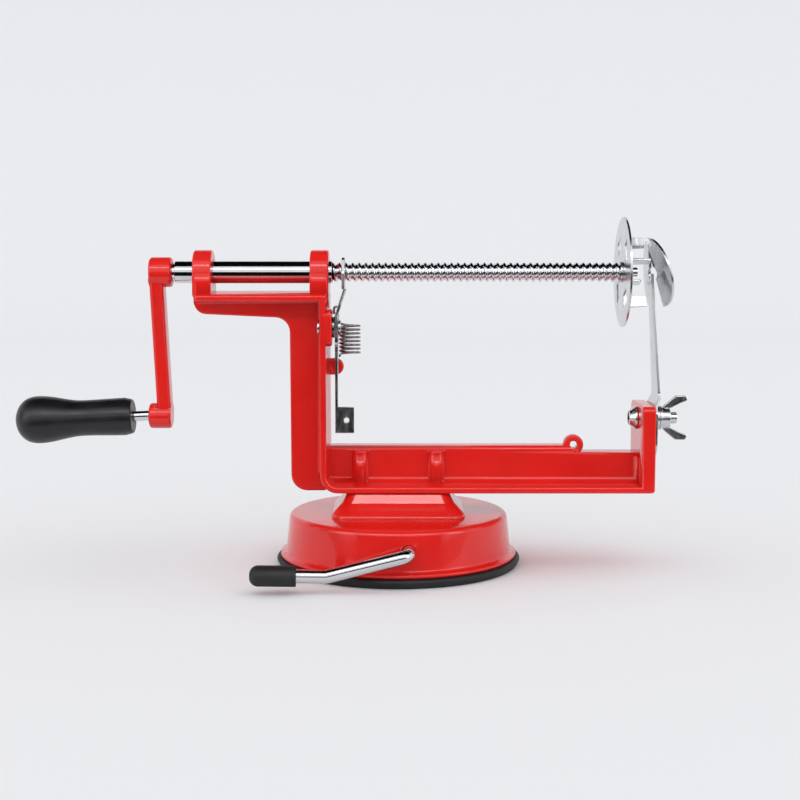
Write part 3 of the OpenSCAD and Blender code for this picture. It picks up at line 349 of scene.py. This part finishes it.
# feed screw: one pitch of its rounded outline, spun along the helix, between the plain rod and the stud
# plain is the plain rod's two ends, neck and stud are a radius and two ends each
screwSettings = {"axisZ": 119.5, "rod": 4.0, "depth": 0.9, "pitch": 2.67, "grooveAtFront": -21.9,
                 "threadLeft": -29.5, "threadRight": 89.8, "spareBefore": 1, "spareInAll": 3,
                 "stepsPerTurn": 36, "outlineSteps": 12, "mergeMm": 0.01, "sides": 64,
                 "plain": (-90.4, -28.5), "neck": (3.45, -98.1, -89.4), "stud": (1.95, 88.8, 96.9)}
screw = bmesh.new()
pitch, axisZ, stepsPerTurn = screwSettings["pitch"], screwSettings["axisZ"], screwSettings["stepsPerTurn"]
threadLeft, threadRight = screwSettings["threadLeft"], screwSettings["threadRight"]
turnsBefore = math.ceil((screwSettings["grooveAtFront"] - threadLeft) / pitch) + screwSettings["spareBefore"]
turns = math.ceil((threadRight - threadLeft) / pitch) + screwSettings["spareInAll"]
outlineStart = screwSettings["grooveAtFront"] - turnsBefore * pitch
outline = []
for k in range(screwSettings["outlineSteps"] + 1):
    share = k / screwSettings["outlineSteps"]
    radius = screwSettings["rod"] - screwSettings["depth"] * (0.5 + 0.5 * math.cos(2 * math.pi * share))
    outline.append(screw.verts.new(Vector((outlineStart + share * pitch, -radius, axisZ)) * mm))
edges = [screw.edges.new(pair) for pair in zip(outline, outline[1:])]
bmesh.ops.spin(screw, geom=outline + edges, cent=(0, 0, axisZ * mm), axis=(1, 0, 0),
               dvec=(pitch / stepsPerTurn * mm, 0, 0), angle=2 * math.pi * turns,
               steps=stepsPerTurn * turns, use_merge=False)
bmesh.ops.remove_doubles(screw, verts=screw.verts, dist=screwSettings["mergeMm"] * mm)
for side, at in ((-1, threadLeft), (1, threadRight)):
    cut = bmesh.ops.bisect_plane(screw, geom=screw.verts[:] + screw.edges[:] + screw.faces[:], dist=0,
                                 plane_co=(at * mm, 0, 0), plane_no=(side, 0, 0),
                                 clear_outer=True)["geom_cut"]
    bmesh.ops.edgeloop_fill(screw, edges=pick(cut, bmesh.types.BMEdge))
lyingDown = Matrix.Rotation(math.radians(90), 4, "Y")
plainRod = (screwSettings["rod"], *screwSettings["plain"])
for radius, left, right in (plainRod, screwSettings["neck"], screwSettings["stud"]):
    middle = Matrix.Translation(Vector(((left + right) / 2, 0, axisZ)) * mm)
    bmesh.ops.create_cone(screw, cap_ends=True, segments=screwSettings["sides"], radius1=radius * mm,
                          radius2=radius * mm, depth=(right - left) * mm, matrix=middle @ lyingDown)
bmesh.ops.recalc_face_normals(screw, faces=screw.faces)
for face in screw.faces:
    face.smooth = len(face.verts) == 4
feedScrew = placed(screw, "feedScrew")
feedScrew.data.set_sharp_from_angle(angle=sharpAngle)
dress(feedScrew, "lead_screw")
print("feed screw spun:", len(feedScrew.data.polygons), "faces")

# release spring: one drawn wire from its upper hook through the coil to its lower hook
springSettings = {"wire": 0.9, "sides": 12, "coilX": -19.7, "coilY": -1.5, "coilRadius": 4, "top": 98.2,
                  "rise": 1.55, "turns": 8, "startAngle": 270, "endAngle": 180, "stepsPerTurn": 40,
                  "smoothing": 8,
                  "upperHook": [(-25.85, -5.2, 102.7), (-25.85, -5.2, 104.95), (-25.54, -5.2, 105.6),
                                (-24.61, -5.2, 105.6), (-24.3, -5.2, 104.95), (-24.3, -5.2, 100.68),
                                (-23.65, -5.35, 99.44), (-22.37, -5.5, 98.67)],
                  "lowerLeg": [(-23.5, -5.5, 86.09), (-23.5, -9.95, 86.2)]}
coilRadius, coilSteps = springSettings["coilRadius"], springSettings["stepsPerTurn"]
startAngle = springSettings["startAngle"]
endAngle = 360 * springSettings["turns"] + springSettings["endAngle"]
coil = []
for k in range(int((endAngle - startAngle) / 360 * coilSteps) + 1):
    a = math.radians(startAngle + 360 * k / coilSteps)
    turned = a / (2 * math.pi) - startAngle / 360
    coil.append(Vector((springSettings["coilX"] + coilRadius * math.cos(a),
                        springSettings["coilY"] + coilRadius * math.sin(a),
                        springSettings["top"] - springSettings["rise"] * turned)))
springLine = (smoothLine(springSettings["upperHook"] + [coil[0]], springSettings["smoothing"])[:-1] + coil
              + smoothLine([coil[-1]] + springSettings["lowerLeg"], springSettings["smoothing"])[1:])
dress(sweptRod("releaseSpring", springLine, springSettings["wire"], springSettings["sides"]),
      "catch_spring")
print("release spring wound")

# studio: a seamless sweep of pale matt paper with a faint fibre mottle
paperSettings = {"name": "mattBackdropPaper", "colour": "#f1f1f2", "fibre": (3, 3), "roughness": (0.78, 0.9),
                 "halfWidth": 7000, "near": -7000, "far": 1500, "rise": 3200, "bend": 700, "bendSteps": 16}
paperNear, paperFar = paperSettings["near"], paperSettings["far"]
paper = bmesh.new()
lowEdge = [paper.verts.new(Vector((side * paperSettings["halfWidth"], paperNear, 0)) * mm)
           for side in (-1, 1)]
grown = bmesh.ops.extrude_edge_only(paper, edges=[paper.edges.new(lowEdge)])["geom"]
farVerts = pick(grown, bmesh.types.BMVert)
bmesh.ops.translate(paper, vec=Vector((0, paperFar - paperNear, 0)) * mm, verts=farVerts)
farEdge = [e for e in pick(grown, bmesh.types.BMEdge) if all(v in farVerts for v in e.verts)]
bent = bmesh.ops.spin(paper, geom=farEdge, cent=Vector((0, paperFar, paperSettings["bend"])) * mm,
                      axis=(1, 0, 0), dvec=(0, 0, 0), angle=math.radians(90),
                      steps=paperSettings["bendSteps"], use_merge=False)["geom_last"]
raised = bmesh.ops.extrude_edge_only(paper, edges=pick(bent, bmesh.types.BMEdge))["geom"]
bmesh.ops.translate(paper, vec=Vector((0, 0, paperSettings["rise"])) * mm,
                    verts=pick(raised, bmesh.types.BMVert))
for face in paper.faces:
    face.smooth = True
bmesh.ops.recalc_face_normals(paper, faces=paper.faces)
paperSweep = placed(paper, "paperSweep")
paperMaterial = newMaterial(paperSettings["name"])
paperCoords = addNode(paperMaterial, "ShaderNodeTexCoord", {})
paperSheen = grained(paperMaterial, paperCoords, paperSettings["fibre"], evenScale,
                     paperSettings["roughness"])
paperShader = addNode(paperMaterial, "ShaderNodeBsdfPrincipled",
                      {"Base Color": toLinear(paperSettings["colour"]), "Specular IOR Level": 0},
                      [("Roughness", paperSheen)])
addNode(paperMaterial, "ShaderNodeOutputMaterial", {}, [("Surface", paperShader.outputs[0])])
paperSweep.data.materials.append(paperMaterial)

# dark cards that only reflections meet: they give the chrome its dark lines and keep the red deep
cardSettings = [
    {"name": "tableCard", "place": (0, -475, 1), "turn": (0, 0), "size": (1500, 650)},
    {"name": "frontCard", "place": (0, -800, 75), "turn": (90, 0), "size": (1500, 150)},
    {"name": "ceilingCard", "place": (0, 240, 900), "turn": (0, 0), "size": (2400, 1360)},
    {"name": "leftCard", "place": (-900, -100, 300), "turn": (0, 90), "size": (420, 260)}]
# black flocked card: it swallows the light
cardMaterial = newMaterial("blackFlockCard")
cardShader = addNode(cardMaterial, "ShaderNodeBsdfPrincipled",
                     {"Base Color": toLinear("#0a0a0b"), "Roughness": 1, "Specular IOR Level": 0})
addNode(cardMaterial, "ShaderNodeOutputMaterial", {}, [("Surface", cardShader.outputs[0])])
for settings in cardSettings:
    sheet = bmesh.new()
    turnX, turnY = [math.radians(angle) for angle in settings["turn"]]
    width, depth = settings["size"]
    turn = Matrix.Rotation(turnX, 4, "X") @ Matrix.Rotation(turnY, 4, "Y")
    size = Matrix.Diagonal((width / 2 * mm, depth / 2 * mm, 1, 1))
    bmesh.ops.create_grid(sheet, x_segments=1, y_segments=1, size=1,
                          matrix=Matrix.Translation(Vector(settings["place"]) * mm) @ turn @ size)
    card = placed(sheet, settings["name"])
    card.data.materials.append(cardMaterial)
    card.visible_camera = card.visible_diffuse = card.visible_shadow = card.visible_transmission = False

# lamps: a long strip above the front and a soft light at each side
lightSettings = [
    {"name": "frontStrip", "place": (0, -950, 820), "aim": (0, 0, 60), "size": (1700, 90), "watts": 4.6},
    {"name": "leftSoftbox", "place": (-1100, -700, 520), "aim": (0, 0, 80), "size": (500, 900), "watts": 2.5},
    {"name": "rightSoftbox", "place": (1100, -600, 480), "aim": (0, 0, 80), "size": (400, 900), "watts": 2}]
# the lamps pass the paper over and leave it to the even light of the air
notThePaper = bpy.data.collections.new("notThePaper")
notThePaper.objects.link(paperSweep)
notThePaper.collection_objects[0].light_linking.link_state = "EXCLUDE"
for settings in lightSettings:
    data = bpy.data.lights.new(settings["name"], "AREA")
    data.shape = "RECTANGLE"
    data.size, data.size_y = settings["size"][0] * mm, settings["size"][1] * mm
    data.energy = settings["watts"]
    lamp = bpy.data.objects.new(settings["name"], data)
    lamp.location = Vector(settings["place"]) * mm
    aim = Vector(settings["aim"]) - Vector(settings["place"])
    lamp.rotation_euler = aim.to_track_quat("-Z", "Y").to_euler()
    lamp.light_linking.receiver_collection = notThePaper
    bpy.context.scene.collection.objects.link(lamp)

# the air lights everything evenly, and beyond the paper's edge the camera sees the paper's own tone
airSettings = {"light": ("#eeeff1", 1.15), "seen": ("#e9eaee", 1)}
studioAir = bpy.data.worlds.new("studioAir")
studioAir.use_nodes = True
studioAir.node_tree.nodes.clear()
lightAir, seenAir = [addNode(studioAir, "ShaderNodeBackground", {"Color": toLinear(tone), "Strength": power})
                     for tone, power in (airSettings["light"], airSettings["seen"])]
rays = addNode(studioAir, "ShaderNodeLightPath", {})
air = addNode(studioAir, "ShaderNodeMixShader", {},
              [(0, rays.outputs["Is Camera Ray"]), (1, lightAir.outputs[0]), (2, seenAir.outputs[0])])
addNode(studioAir, "ShaderNodeOutputWorld", {}, [("Surface", air.outputs[0])])
bpy.context.scene.world = studioAir
bpy.context.scene.view_settings.view_transform = "Standard"
print("studio set")
